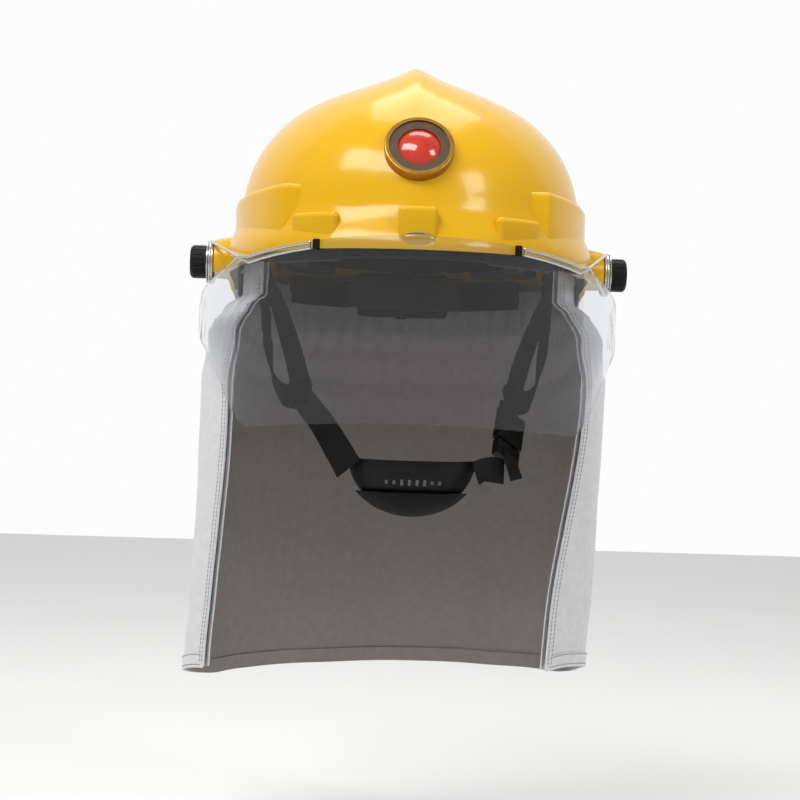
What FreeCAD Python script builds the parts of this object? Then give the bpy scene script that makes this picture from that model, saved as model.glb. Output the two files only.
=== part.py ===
"""Firefighter helmet: crested shell, swing-up visor, harness, chin strap and neck shawl.

Millimetres, +Z up.  The helmet faces -Y and +X is the wearer's left.  The origin is the
middle of the head opening, level with the visor's pivot axis, which is the X axis.
"""
import FreeCAD, Part
import math
import os
from FreeCAD import Vector

# ---- shell ---------------------------------------------------------------
WALL = 3.0
DOME_HALF_WIDTH = 118.0
DOME_HALF_LENGTH = 139.0
DOME_BASE = 20.0            # height of the dome's widest level
DOME_HEIGHT = 102.0
DOME_FULLNESS = 2.4         # 2 is an ellipsoid, more is boxier
CREST_RISE = 16.0
CREST_SPREAD = 22.0
CREST_REACH = 108.0         # the crest fades out this far in front and behind
FLARE_TOP = 34.0
FLARE_DROP = 30.0
FLARE_SIDE = 10.0
FLARE_FRONT = 13.0
RIM_FRONT = 3.0
RIM_SIDE = -7.0
RIM_REAR = -38.0

# ---- raised blocks round the front of the shell ----------------------------
BLOCK_HALF_WIDTH = 121.5    # plan outline of their outer faces
BLOCK_HALF_LENGTH = 151.0
BLOCK_ROUND = 3.5
CENTRE_BLOCK = 12.6
CENTRE_BLOCK_TOP = 31.0
SMALL_BLOCK_FROM = 50.0
SMALL_BLOCK_TO = 80.0
SMALL_BLOCK_TOP = 27.0
SIDE_BLOCK_FRONT = -105.0
SIDE_BLOCK_REAR = 64.0
SIDE_BLOCK_TOP = 47.0

# ---- badge -------------------------------------------------------------------
BADGE_RISE = 24.5           # degrees up the front of the dome
BADGE_RADIUS = 22.5
BADGE_RIM = 2.9
BADGE_PROUD = 4.2
ENAMEL_RADIUS = 13.5
PIN_SPREAD = 12

# ---- visor and its pivots ---------------------------------------------------
VISOR_HALF_WIDTH = 145.0
VISOR_REACH = 170.0
VISOR_SHEET = 2.0
VISOR_TOP = 10.5            # top edge straight ahead
VISOR_LOW = -125.0
WIRE = 1.0                  # wire radius
HAIRPIN_TURNS = (47, 42, 37, 32, 27.6)   # degrees from straight ahead, outer end first
CROSSING_TURN = 51.0
CLIP_TURN = 25.7
COIL_RADIUS = 14.0          # to the wire's centre
COIL_OUT = 136.9
COIL_PITCH = 1.7
BOSS_RADIUS = 12.95
BOSS_END = 139.9
BOLT_RADIUS = 3.0
KNOB_RADIUS = 11.5
KNOB_FROM = 141.0
KNOB_TO = 152.4
RUNNING_FIT = 0.05

# ---- head harness -------------------------------------------------------------
BAND_HALF_WIDTH = 86.0
BAND_HALF_LENGTH = 106.0
BAND_SHEET = 2.0
SWEATBAND_THICK = 5.5
LINER_INSET = 7.5           # foam stands this far inside the dome's outer skin
LINER_THICK = 12.0
CRADLE_INSET = 25.5         # the crown webbing hangs clear of the foam
WEBBING = 20.0
WEBBING_SHEET = 1.6
DIAL_Y = 120.4
PINION_TEETH = 12
PINION_Z = -14.0
TOOTH_MODULE = 1.0

# ---- chin strap ------------------------------------------------------------------
CHIN_X = 4.0                # the cup sits this far to the side of the shell's middle
CUP_HALF_WIDTH = 43.0
CUP_TOP = -131.5
CUP_BOTTOM = -168.0
CUP_FRONT = -104.0
DIVIDER = Vector(71.0, -44.0, -88.0)
BUCKLE_LOW = Vector(66.0, -72.0, -127.0)
BUCKLE_HIGH = Vector(70.0, -56.0, -100.0)

# ---- neck shawl -------------------------------------------------------------------
SHAWL_CENTRE_Y = 10.0
SHAWL_WRAP_LEFT = 122.0     # degrees from straight behind to the front edge, wearer's left
SHAWL_WRAP_RIGHT = 118.0
SHAWL_TOP = -9.0
HEADER_WRAP = 105.0
SHAWL_BOTTOM = -290.0
SHAWL_SWAY = -8.0           # the hem hangs this far to one side
CLOTH = 2.0
SNAP_ANGLES = (-90, -45, 0, 45, 90)

X_AXIS = Vector(1, 0, 0)
Y_AXIS = Vector(0, 1, 0)
Z_AXIS = Vector(0, 0, 1)


# ---- general shapes -----------------------------------------------------------------

def box(low, high):
    return Part.makeBox(high[0] - low[0], high[1] - low[1], high[2] - low[2], Vector(*low))


def rod(start, end, radius):
    return Part.makeCylinder(radius, (end - start).Length, start, end - start)


def joined(shapes):
    return shapes[0].multiFuse(shapes[1:]) if len(shapes) > 1 else shapes[0]


def mirrored(shape):
    return shape.mirror(Vector(0, 0, 0), X_AXIS)


def sided(shape, side):
    return shape if side > 0 else mirrored(shape)


def ellipse_arc(half_width, half_length, centre_y, height, start, end):
    """Plan arc; degrees from +X towards +Y."""
    if half_width > half_length:
        ellipse = Part.Ellipse(Vector(0, centre_y, height), half_width, half_length)
        shift = 0
    else:
        major = Vector(0, centre_y + half_length, height)
        minor = Vector(-half_width, centre_y, height)
        ellipse = Part.Ellipse(major, minor, Vector(0, centre_y, height))
        shift = -90
    return Part.ArcOfEllipse(ellipse, math.radians(start + shift), math.radians(end + shift)).toShape()


def band_wire(half_width, half_length, sheet, centre_y, height, start, end):
    """Closed thin outline that follows an ellipse in plan."""
    outer = ellipse_arc(half_width, half_length, centre_y, height, start, end)
    inner = ellipse_arc(half_width - sheet, half_length - sheet, centre_y, height, start, end)
    ends = [Part.makeLine(outer.Vertexes[i].Point, inner.Vertexes[i].Point) for i in (0, 1)]
    return Part.Wire(Part.__sortEdges__([outer, ends[0], inner, ends[1]]))


def band(half_width, half_length, sheet, low, high, start, end, centre_y=0.0):
    wire = band_wire(half_width, half_length, sheet, centre_y, low, start, end)
    return Part.Face(wire).extrude(Vector(0, 0, high - low))


def ring_band(half_width, half_length, sheet, low, high):
    outer = Part.Face(Part.Wire([ellipse_arc(half_width, half_length, 0, low, 0, 360)]))
    inner = Part.Face(Part.Wire([ellipse_arc(half_width - sheet, half_length - sheet, 0, low, 0, 360)]))
    return outer.cut(inner).extrude(Vector(0, 0, high - low))


def ellipsoid(half_x, half_y, half_z, centre):
    stretch = FreeCAD.Matrix()
    stretch.scale(half_x, half_y, half_z)
    shape = Part.makeSphere(1.0).transformGeometry(stretch)
    shape.translate(centre)
    return shape


def wire_run(points, radius):
    """Bent wire as straight runs with a ball at each bend."""
    pieces = [rod(a, b, radius) for a, b in zip(points, points[1:])]
    pieces += [Part.makeSphere(radius, point) for point in points[1:-1]]
    return joined(pieces)


def webbing(stations, width=WEBBING, sheet=WEBBING_SHEET):
    """Flat strap through (centre, width direction) stations."""
    wires = []
    for i, (centre, across) in enumerate(stations):
        before = stations[max(i - 1, 0)][0]
        after = stations[min(i + 1, len(stations) - 1)][0]
        along = (after - before).normalize()
        across = (across - along * across.dot(along)).normalize()
        out = along.cross(across)
        corners = [centre + across * (width / 2 * a) + out * (sheet / 2 * b)
                   for a, b in ((-1, -1), (1, -1), (1, 1), (-1, 1))]
        wires.append(Part.makePolygon(corners + corners[:1]))
    return Part.makeLoft(wires, True, False)


# ---- shell -------------------------------------------------------------------------

def crest(x, y):
    fade = max(0.0, 1.0 - (y / CREST_REACH) ** 2)
    return CREST_RISE * fade * math.exp(-(math.hypot(x, 3.0) - 3.0) / CREST_SPREAD)


def flare(z, turn):
    reach = min(1.0, max(0.0, (FLARE_TOP - z) / FLARE_DROP))
    amount = FLARE_SIDE + (FLARE_FRONT - FLARE_SIDE) * max(0.0, math.cos(turn)) ** 2
    return amount * reach * reach * (3 - 2 * reach)


def dome_row(rise, turns, inset):
    """One level of the dome; rise is 0 at its base and 90 degrees at the top."""
    power = 2.0 / DOME_FULLNESS
    spread = math.cos(rise) ** power if rise < math.pi / 2 else 0.0
    z = DOME_BASE + (DOME_HEIGHT - inset) * math.sin(rise) ** power
    row = []
    for turn in turns:
        grow = flare(z, turn)
        x = (DOME_HALF_WIDTH - inset + grow) * spread * math.sin(turn)
        y = -(DOME_HALF_LENGTH - inset + grow) * spread * math.cos(turn)
        row.append(Vector(x, y, z + crest(x, y)))
    return row


def skirt_row(z, turns, inset, scale=1.0):
    row = []
    for turn in turns:
        grow = flare(z, turn)
        x = (DOME_HALF_WIDTH - inset + grow) * math.sin(turn)
        y = -(DOME_HALF_LENGTH - inset + grow) * math.cos(turn)
        row.append(Vector(x * scale, y * scale, z))
    return row


def smooth_skin(rows):
    """Closed cubic surface: rows run from the top point to the bottom point."""
    around = len(rows[0])
    down = len(rows)
    surface = Part.BSplineSurface()
    poles = [[row[i] for row in rows] for i in range(around)]
    surface.buildFromPolesMultsKnots(
        poles, [1] * (around + 1), [4] + [1] * (down - 4) + [4],
        [float(i) for i in range(around + 1)], [float(i) for i in range(down - 2)],
        True, False, 3, 3)
    solid = Part.Solid(Part.Shell([surface.toShape()]))
    if solid.Volume < 0:
        solid.reverse()
    return solid


def shell_form(inset):
    """Solid dome with crest and flared skirt; the columns crowd towards the crest."""
    columns = 112
    even = [2 * math.pi * i / columns for i in range(columns)]
    turns = [a - 0.3 * math.sin(2 * a) for a in even]
    dome_levels = 26
    rows = [dome_row(math.pi / 2 * (1 - i / dome_levels), turns, inset) for i in range(dome_levels)]
    skirt_levels = [DOME_BASE - 4.0 * i for i in range(19)]
    rows += [skirt_row(z, turns, inset) for z in skirt_levels]
    rows += [skirt_row(skirt_levels[-1] - 1, turns, inset, scale) for scale in (0.7, 0.0)]
    return smooth_skin(rows)


def plan_ring(inset, low, high):
    """Upright wall that the outer faces of the blocks lie on."""
    outer = ellipse_arc(BLOCK_HALF_WIDTH - inset, BLOCK_HALF_LENGTH - inset, 0, low, 0, 360)
    inner = ellipse_arc(DOME_HALF_WIDTH - 22, DOME_HALF_LENGTH - 22, 0, low, 0, 360)
    face = Part.Face(Part.Wire([outer])).cut(Part.Face(Part.Wire([inner])))
    return face.extrude(Vector(0, 0, high - low))


def rounded(shape, radius, low):
    """Round every edge that stands clear of the floor of the block."""
    edges = [edge for edge in shape.Edges if edge.BoundBox.ZMax > low + 1]
    outer = []
    for edge in edges:
        middle = edge.valueAt((edge.FirstParameter + edge.LastParameter) / 2)
        outside = (middle.x / (DOME_HALF_WIDTH - 12)) ** 2 + (middle.y / (DOME_HALF_LENGTH - 12)) ** 2
        if outside > 1:
            outer.append(edge)
    return shape.makeFillet(radius, outer)


def block(low_x, high_x, low_y, high_y, front_top, fall, inset):
    """Part of the ring wall between two x and two y limits, under a sloping top."""
    floor = -60.0
    ring = plan_ring(inset, floor, front_top - inset)
    piece = ring.common(box((low_x + inset, low_y + inset, floor - 1),
                            (high_x - inset, high_y - inset, front_top + 20)))
    if fall:
        wedge = box((-300, -300, 0), (300, 300, 200))
        wedge.rotate(Vector(0, 0, 0), X_AXIS, -fall)
        wedge.translate(Vector(0, low_y, front_top - inset))
        piece = piece.cut(wedge)
    return rounded(piece, BLOCK_ROUND if inset == 0 else 1.5, floor)


def shell_blocks(inset):
    pieces = [block(-CENTRE_BLOCK, CENTRE_BLOCK, -400, 0, CENTRE_BLOCK_TOP, 0, inset)]
    for side in (1, -1):
        small = block(SMALL_BLOCK_FROM, SMALL_BLOCK_TO, -400, -60, SMALL_BLOCK_TOP, 0, inset)
        large = block(0, 400, SIDE_BLOCK_FRONT, SIDE_BLOCK_REAR, SIDE_BLOCK_TOP, 4.0, inset)
        pieces += [sided(small, side), sided(large, side)]
    return pieces


def rim_cutter():
    """Everything below the shell's lower edge."""
    line = [(-220, RIM_FRONT), (-150, RIM_FRONT), (-100, RIM_FRONT - 2), (-40, RIM_SIDE),
            (10, RIM_SIDE - 3), (38, -22), (62, RIM_REAR), (110, RIM_REAR - 2), (220, RIM_REAR - 2)]
    curve = Part.BSplineCurve()
    curve.interpolate([Vector(-200, y, z) for y, z in line])
    start = Vector(-200, line[0][0], line[0][1])
    end = Vector(-200, line[-1][0], line[-1][1])
    low_end = Vector(-200, end.y, -120)
    low_start = Vector(-200, start.y, -120)
    wire = Part.Wire([curve.toShape(), Part.makeLine(end, low_end), Part.makeLine(low_end, low_start),
                      Part.makeLine(low_start, start)])
    return Part.Face(wire).extrude(Vector(400, 0, 0))


def pivot_boss(side):
    """Stub that carries the visor's coil, with a cone where it leaves the wall."""
    cone = Part.makeCone(21, BOSS_RADIUS + 2.6, 26, Vector(109.4, 0, 0), X_AXIS)
    stub = Part.makeCylinder(BOSS_RADIUS, BOSS_END - 112, Vector(112, 0, 0), X_AXIS)
    return sided(cone.fuse(stub), side)


def badge_frame():
    """Point on the shell under the badge and the way the shell faces there."""
    power = 2.0 / DOME_FULLNESS
    rise = math.radians(BADGE_RISE)
    step = 0.01

    def point(angle):
        y = -DOME_HALF_LENGTH * math.cos(angle) ** power
        return Vector(0, y, DOME_BASE + DOME_HEIGHT * math.sin(angle) ** power + crest(0, y))

    along = (point(rise + step) - point(rise - step)).normalize()
    return point(rise), Vector(0, -along.z, along.y)


def outer_shell():
    body = joined([shell_form(0)] + shell_blocks(0) + [pivot_boss(1), pivot_boss(-1)])
    body = body.cut(rim_cutter())
    hollow = shell_form(WALL)
    keep_out = [hollow] + shell_blocks(WALL)
    body = body.cut(keep_out)
    for side in (1, -1):
        body = body.cut(rod(Vector(side * 100, 0, 0), Vector(side * 150, 0, 0), BOLT_RADIUS + 0.02))
    seat, facing = badge_frame()
    for x in (-PIN_SPREAD, PIN_SPREAD):
        start = seat + Vector(x, 0, 0) + facing * 6
        body = body.cut(rod(start, start - facing * 20, 1.25))
    return max(body.Solids, key=lambda solid: solid.Volume)


# ---- badge -----------------------------------------------------------------------------

def badge_parts(outer):
    """Rim, field, enamel dome and fixing pins, seated on the outer skin."""
    seat, facing = badge_frame()
    inner = BADGE_RADIUS - BADGE_RIM
    rim = rod(seat - facing * 6, seat + facing * BADGE_PROUD, BADGE_RADIUS)
    rim = rim.cut(rod(seat - facing, seat + facing * 9, inner))
    lip = [e for e in rim.Edges if (e.CenterOfMass - seat).dot(facing) > BADGE_PROUD - 0.5
           and e.Length > 2 * math.pi * (BADGE_RADIUS - 0.5)]
    rim = rim.makeFillet(0.9, lip).cut(outer)
    field = rod(seat - facing * 0.9, seat + facing * 3.0, inner - 0.1)
    field = field.cut(rod(seat + facing * 1.6, seat + facing * 9, ENAMEL_RADIUS + 0.1)).cut(outer)
    ball = Part.makeSphere(22.6, seat - facing * 16)
    dome = rod(seat + facing * 1.7, seat + facing * 9, ENAMEL_RADIUS).common(ball)
    pins = []
    for x in (-PIN_SPREAD, PIN_SPREAD):
        root = seat + Vector(x, 0, 0)
        pins.append(rod(root - facing * 1.2, root - facing * 11, 1.2))
    return largest(rim), largest(field), dome, joined_loose(pins)


def joined_loose(shapes):
    return Part.makeCompound(shapes)


def largest(shape):
    return max(shape.Solids, key=lambda solid: solid.Volume)


# ---- visor ------------------------------------------------------------------------------

def visor_edge(turn):
    """Height of the visor's top edge at a turn from straight ahead, in degrees."""
    if turn <= 50:
        return VISOR_TOP - 14.0 * (turn / 50.0) ** 2
    past = turn - 50
    return VISOR_TOP - 14.0 - 0.62 * past - 0.0035 * past ** 2


def on_visor(turn, z, proud=0.0):
    angle = math.radians(turn)
    x = (VISOR_HALF_WIDTH + proud) * math.sin(angle)
    return Vector(x, -(VISOR_REACH + proud) * math.cos(angle), z)


def visor():
    """Curved clear sheet: a wall trimmed to a front view outline."""
    wall = ring_band(VISOR_HALF_WIDTH, VISOR_REACH, VISOR_SHEET, VISOR_LOW, VISOR_TOP + 14)
    top = [Vector(on_visor(turn, 0).x, -200, visor_edge(turn)) for turn in (0, 13, 26, 38, 50, 62, 72)]
    side = [Vector(x, -200, z) for x, z in ((143.4, -27.5), (145.3, -38), (143.8, -50),
                                            (133, -68), (121, -93), (111.5, -108))]
    half_top = [Vector(-p.x, p.y, p.z) for p in reversed(top[1:])] + top
    crown = Part.BSplineCurve()
    crown.interpolate(half_top)
    edges = [crown.toShape()]
    for sign in (1, -1):
        flank = Part.BSplineCurve()
        flank.interpolate([Vector(sign * p.x, p.y, p.z) for p in [top[-1]] + side])
        edges.append(flank.toShape())
    corner = side[-1]
    turn_in = Vector(102.0, -200, -112.2)
    knee = Vector(107.6, -200, -111.4)
    for sign in (1, -1):
        points = [Vector(sign * p.x, p.y, p.z) for p in (corner, knee, turn_in)]
        edges.append(Part.Arc(*points).toShape())
    edges.append(Part.Arc(Vector(-turn_in.x, -200, turn_in.z), Vector(0, -200, -107), turn_in).toShape())
    outline = Part.Face(Part.Wire(Part.__sortEdges__(edges)))
    return wall.common(outline.extrude(Vector(0, 200, 0)))


def visor_lift_tab():
    tab = ellipsoid(10.4, 3.2, 4.4, Vector(0, -170.4, 8.2))
    skin = Part.Wire([ellipse_arc(VISOR_HALF_WIDTH + 0.05, VISOR_REACH + 0.05, 0, -20, 0, 360)])
    return largest(tab.cut(Part.Face(skin).extrude(Vector(0, 0, 60))))


def visor_wire(side):
    """Two coils round the boss, two legs and a hairpin along the visor's edge."""
    coils = [Part.makeTorus(COIL_RADIUS, WIRE, Vector(x, 0, 0), X_AXIS)
             for x in (COIL_OUT, COIL_OUT + COIL_PITCH)]
    outer_coil = COIL_OUT + COIL_PITCH
    crossing = on_visor(CROSSING_TURN, visor_edge(CROSSING_TURN) + 1.6, 1.4)
    upper = [Vector(outer_coil, 0, COIL_RADIUS + 0.4), crossing]
    lower = [Vector(outer_coil, 0, -COIL_RADIUS - 0.4), crossing + Vector(0.6, 1.5, -0.4)]
    for turn in HAIRPIN_TURNS:
        upper.append(on_visor(turn, visor_edge(turn) - 1.0, 1.4))
        lower.append(on_visor(turn, visor_edge(turn) - 4.6, 1.4))
    bend = [wire_run([upper[-1], lower[-1]], WIRE)]
    bend += [Part.makeSphere(WIRE, end) for end in (upper[-1], lower[-1])]
    return sided(joined(coils + [wire_run(upper, WIRE), wire_run(lower, WIRE)] + bend), side)


def wire_clip(side):
    """Little moulded keeper that ties the hairpin to the visor."""
    centre = on_visor(CLIP_TURN, visor_edge(CLIP_TURN) - 2.8, 1.78)
    clip = Part.makeBox(4.4, 3.2, 7.0, Vector(-2.2, -1.6, -3.5))
    clip = clip.makeFillet(1.0, clip.Edges)
    clip.rotate(Vector(0, 0, 0), Z_AXIS, CLIP_TURN * 0.9)
    clip.translate(centre)
    return sided(clip, side)


def pivot_bolt(side):
    head = Part.makeCylinder(6.5, 3.5, Vector(105.5, 0, 0), X_AXIS)
    shank = Part.makeCylinder(BOLT_RADIUS, 41.0, Vector(109.0, 0, 0), X_AXIS)
    return sided(head.makeFillet(0.8, [head.Edges[0], head.Edges[2]]).fuse(shank), side)


def pivot_washer(side):
    ring = Part.makeCylinder(14.8, 0.8, Vector(140.0, 0, 0), X_AXIS)
    return sided(ring.cut(Part.makeCylinder(3.2, 3, Vector(139, 0, 0), X_AXIS)), side)


def pivot_knob(side):
    body = Part.makeCylinder(KNOB_RADIUS, KNOB_TO - KNOB_FROM, Vector(KNOB_FROM, 0, 0), X_AXIS)
    rim = [e for e in body.Edges if e.CenterOfMass.x > KNOB_TO - 0.1 and e.Length > 20]
    body = body.makeFillet(3.2, rim)
    grips = 18
    for i in range(grips):
        angle = 2 * math.pi * i / grips
        spot = Vector(0, math.cos(angle), math.sin(angle)) * (KNOB_RADIUS + 0.9)
        body = body.cut(rod(spot + Vector(KNOB_FROM + 2.2, 0, 0), spot + Vector(KNOB_TO + 1, 0, 0), 1.3))
    bore = Part.makeCylinder(BOLT_RADIUS + RUNNING_FIT, 9.6, Vector(KNOB_FROM - 0.2, 0, 0), X_AXIS)
    return sided(body.cut(bore), side)


# ---- lining and head harness ------------------------------------------------------------------

def dome_ellipsoid(inset):
    """Plain ellipsoid that follows the dome from inside."""
    return ellipsoid(DOME_HALF_WIDTH - inset, DOME_HALF_LENGTH - inset - 1, DOME_HEIGHT - inset - 1.5,
                     Vector(0, 0, DOME_BASE))


def impact_liner():
    foam = dome_ellipsoid(LINER_INSET).cut(dome_ellipsoid(LINER_INSET + LINER_THICK))
    return foam.cut(box((-200, -200, -200), (200, 200, 34)))


def crown_strap(lengthwise, gap):
    """Webbing of the cradle, from one hanger over the head to the other."""
    inset = CRADLE_INSET + gap
    arch = dome_ellipsoid(inset).cut(dome_ellipsoid(inset + WEBBING_SHEET))
    if lengthwise:
        keep = box((-WEBBING / 2, -200, 34.15), (WEBBING / 2, 200, 200))
    else:
        keep = box((-200, -WEBBING / 2, 34.15), (200, WEBBING / 2, 200))
    return arch.common(keep)


def crown_pad():
    top = DOME_BASE + DOME_HEIGHT - CRADLE_INSET - 9.5
    pad = Part.makeCylinder(27, 5, Vector(0, 0, top - 7))
    return pad.makeFillet(2.2, pad.Edges)


def suspension_clips():
    """Four hangers from the shell's wall to the band; the crown webbing ends in them."""
    pieces = []
    for turn, near, far in ((0, BAND_HALF_WIDTH + 0.4, 116.5), (90, BAND_HALF_LENGTH + 0.4, 137.5),
                            (180, BAND_HALF_WIDTH + 0.4, 116.5), (270, BAND_HALF_LENGTH + 0.4, 137.5)):
        clip = box((near, -13, 22), (far, 13, 31.5)).cut(box((near + 6, -10, 25), (far - 6, 10, 33)))
        clip = clip.fuse(box((near, -11, 22), (near + 3.4, 11, 33.9)))
        clip.rotate(Vector(0, 0, 0), Z_AXIS, turn)
        pieces.append(clip)
    return joined_loose(pieces)


def headband():
    ring = ring_band(BAND_HALF_WIDTH, BAND_HALF_LENGTH, BAND_SHEET, 4, 34)
    tongue = box((-10, BAND_HALF_LENGTH - 2, -27), (10, BAND_HALF_LENGTH, 8))
    return ring.fuse(tongue)


def sweatband():
    return band(BAND_HALF_WIDTH - BAND_SHEET - 0.3, BAND_HALF_LENGTH - BAND_SHEET - 0.3,
                SWEATBAND_THICK, -1, 31, 150, 390)


def side_pad(side):
    """Foam cheek between the band and the shell's side wall."""
    pad = band(109, 127, 14, -4, 20, -62, -27)
    return sided(pad, side)


def rear_pad(side):
    pad = band(109, 127, 12, -2, 20, 26, 60)
    return sided(pad, side)


def rack_teeth(low, count, face_z, up):
    """Straight rack teeth with a little backlash; low is where the first tooth's middle is."""
    pitch = math.pi * TOOTH_MODULE
    teeth = []
    for i in range(count):
        x = low + pitch * i
        root = 0.72
        tip = 0.3
        top = face_z + (2.0 if up else -2.0) * TOOTH_MODULE
        points = [Vector(x - root, 108.7, face_z), Vector(x - tip, 108.7, top),
                  Vector(x + tip, 108.7, top), Vector(x + root, 108.7, face_z)]
        teeth.append(Part.Face(Part.makePolygon(points + points[:1])).extrude(Vector(0, 4.0, 0)))
    return teeth


def nape_arm(side):
    """Half of the adjustable nape band: a curved arm and, inside the housing, its rack."""
    arm = band(BAND_HALF_WIDTH + 5, BAND_HALF_LENGTH + 18, 1.8, -24, -4, 25, 62.5)
    pitch_radius = PINION_TEETH * TOOTH_MODULE / 2
    reach_in = -15.0
    first_tooth = -3.5 * math.pi * TOOTH_MODULE
    if side > 0:
        bar = box((reach_in, 108.7, -24), (44, 112.7, PINION_Z - pitch_radius - 1.2))
        teeth = rack_teeth(first_tooth, 6, PINION_Z - pitch_radius - 1.2, True)
    else:
        bar = box((reach_in, 108.7, PINION_Z + pitch_radius + 1.2), (44, 112.7, -4))
        teeth = rack_teeth(first_tooth, 6, PINION_Z + pitch_radius + 1.2, False)
    return sided(joined([arm, bar] + teeth), side)


def dial_pinion():
    """Twelve narrow teeth on a hub, with the shaft that the dial is pressed on."""
    radius = PINION_TEETH * TOOTH_MODULE / 2
    hub = Part.makeCylinder(radius - 1.3, 4.0, Vector(0, 108.7, 0), Y_AXIS)
    pieces = [hub, Part.makeCylinder(2.5, 15, Vector(0, 108.7, 0), Y_AXIS)]
    for i in range(PINION_TEETH):
        points = [Vector(-0.75, 108.7, radius - 1.5), Vector(-0.62, 108.7, radius - 0.4),
                  Vector(-0.22, 108.7, radius + 0.8), Vector(0.22, 108.7, radius + 0.8),
                  Vector(0.62, 108.7, radius - 0.4), Vector(0.75, 108.7, radius - 1.5)]
        tooth = Part.Face(Part.makePolygon(points + points[:1])).extrude(Vector(0, 4.0, 0))
        tooth.rotate(Vector(0, 0, 0), Y_AXIS, 360.0 * i / PINION_TEETH)
        pieces.append(tooth)
    pinion = joined(pieces)
    pinion.translate(Vector(0, 0, PINION_Z))
    return pinion


def ratchet_housing():
    case = box((-34, 106.4, -30), (34, 120, 2))
    case = case.makeFillet(3, [e for e in case.Edges if abs(e.CenterOfMass.y - 113.2) < 1])
    case = case.cut(box((-40, 108.3, -24.5), (40, 113.1, -3.5)))
    return case.cut(Part.makeCylinder(2.5 + RUNNING_FIT, 12, Vector(0, 112, PINION_Z), Y_AXIS))


def size_dial():
    dial = Part.makeCylinder(17, 10, Vector(0, DIAL_Y, PINION_Z), Y_AXIS)
    dial = dial.makeFillet(2, [e for e in dial.Edges if e.CenterOfMass.y > DIAL_Y + 9 and e.Length > 90])
    ribs = 24
    for i in range(ribs):
        angle = 2 * math.pi * i / ribs
        spot = Vector(17.5 * math.cos(angle), 0, PINION_Z + 17.5 * math.sin(angle))
        dial = dial.cut(rod(spot + Vector(0, DIAL_Y + 1.5, 0), spot + Vector(0, DIAL_Y + 12, 0), 1.3))
    return dial.cut(Part.makeCylinder(2.5, 3.3, Vector(0, DIAL_Y, PINION_Z), Y_AXIS))


def nape_pad():
    return band(BAND_HALF_WIDTH - 3, BAND_HALF_LENGTH - 2.6, 5, -27, 2, 58, 122)


# ---- chin strap ------------------------------------------------------------------------------------

def strap_path(points, outward):
    """Stations from (x, y, z) points and the plan direction, in degrees, of the strap's width."""
    stations = []
    for (x, y, z), degrees in zip(points, outward):
        angle = math.radians(degrees)
        stations.append((Vector(x, y, z), Vector(math.sin(angle), math.cos(angle), 0)))
    return stations


def cheek_strap_front(side):
    points = ((102, -40, 10), (97, -43, -12), (87, -46, -36), (77.5, -47, -64), (72.5, -45, -83))
    return sided(webbing(strap_path(points, (5, 18, 34, 40, 42))), side)


def cheek_strap_rear(side):
    points = ((102.4, 38, 2), (101, 34, -24), (98.5, 25, -54),
              (94, 13, -77), (86, -9, -89.5), (77.5, -28, -92.5))
    stations = strap_path(points, (-20, -20, -16, -4, 0, 0))
    stations[4] = (stations[4][0], Vector(0.25, 0.3, 0.9))
    stations[5] = (stations[5][0], Vector(0.25, 0.3, 0.9))
    stations[3] = (stations[3][0], Vector(0.1, 0.62, 0.62))
    return sided(webbing(stations, 16), side)


def strap_divider(side):
    """Three-way plate with a slot for each strap."""
    plate = Part.makeCylinder(13.5, 3.2, Vector(0, 0, -1.6))
    flats = Part.makePolygon([Vector(13 * math.cos(a), 13 * math.sin(a), -3) for a in
                              [math.radians(90 + 120 * i) for i in range(3)]] + [Vector(0, 13, -3)])
    plate = Part.Face(flats).extrude(Vector(0, 0, 6)).common(plate)
    plate = Part.makeCylinder(11.5, 3.2, Vector(0, 0, -1.6)).fuse(plate)
    plate = plate.cut(box((-8, -7.2, -3), (8, -4.6, 3)))
    plate = plate.cut(box((-8, 4.6, -3), (8, 7.2, 3)))
    facing = Vector(0.78, -0.6, 0.16).normalize()
    turn = FreeCAD.Rotation(Z_AXIS, facing)
    plate.Placement = FreeCAD.Placement(DIVIDER + facing * 2.8, turn)
    return sided(plate, side)


def strap_anchors():
    """Moulded lugs let into the shell's wall; each strap ends on one."""
    lugs = []
    for side in (1, -1):
        front = box((104.6, -49, 4), (116.5, -31, 16))
        rear = box((104.6, 29, -4), (118, 46, 8))
        lugs += [sided(front, side), sided(rear, side)]
    return joined_loose(lugs)


def lower_strap_right():
    """From the divider down to the cup, with no buckle."""
    points = ((-70.5, -49, -93), (-58, -64, -108), (-46, -79.5, -126), (-38.5, -88, -138))
    return webbing(strap_path(points, (-38, -42, -50, -58)))


def buckle_directions():
    along = (BUCKLE_HIGH - BUCKLE_LOW).normalize()
    facing = Vector(0.74, -0.66, 0.2)
    facing = (facing - along * facing.dot(along)).normalize()
    return along, facing, facing.cross(along)


def in_buckle_place(shape):
    """Move a buckle part from its bench place: width on X, thickness on Y, length on Z."""
    along, facing, across = buckle_directions()
    start = BUCKLE_LOW
    turned = FreeCAD.Matrix(across.x, facing.x, along.x, start.x,
                            across.y, facing.y, along.y, start.y,
                            across.z, facing.z, along.z, start.z, 0, 0, 0, 1)
    moved = shape.copy()
    moved.Placement = FreeCAD.Placement(turned).multiply(shape.Placement)
    return moved


def buckle_socket():
    """Female half: a flat box open at its lower mouth, with a strap bar at its top."""
    body = box((-12.5, -3.6, 9), (12.5, 3.6, 31.6))
    body = body.makeFillet(1.6, [e for e in body.Edges if abs(e.Length - 22.6) < 0.1])
    body = body.cut(box((-10.8, -2.0, 8), (10.8, 2.0, 24)))
    body = body.cut(box((-9, -5, 26), (9, 5, 28.8)))
    body = body.cut(box((-13, -2.0, 14), (13, 2.0, 20.5)))
    return in_buckle_place(body)


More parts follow.
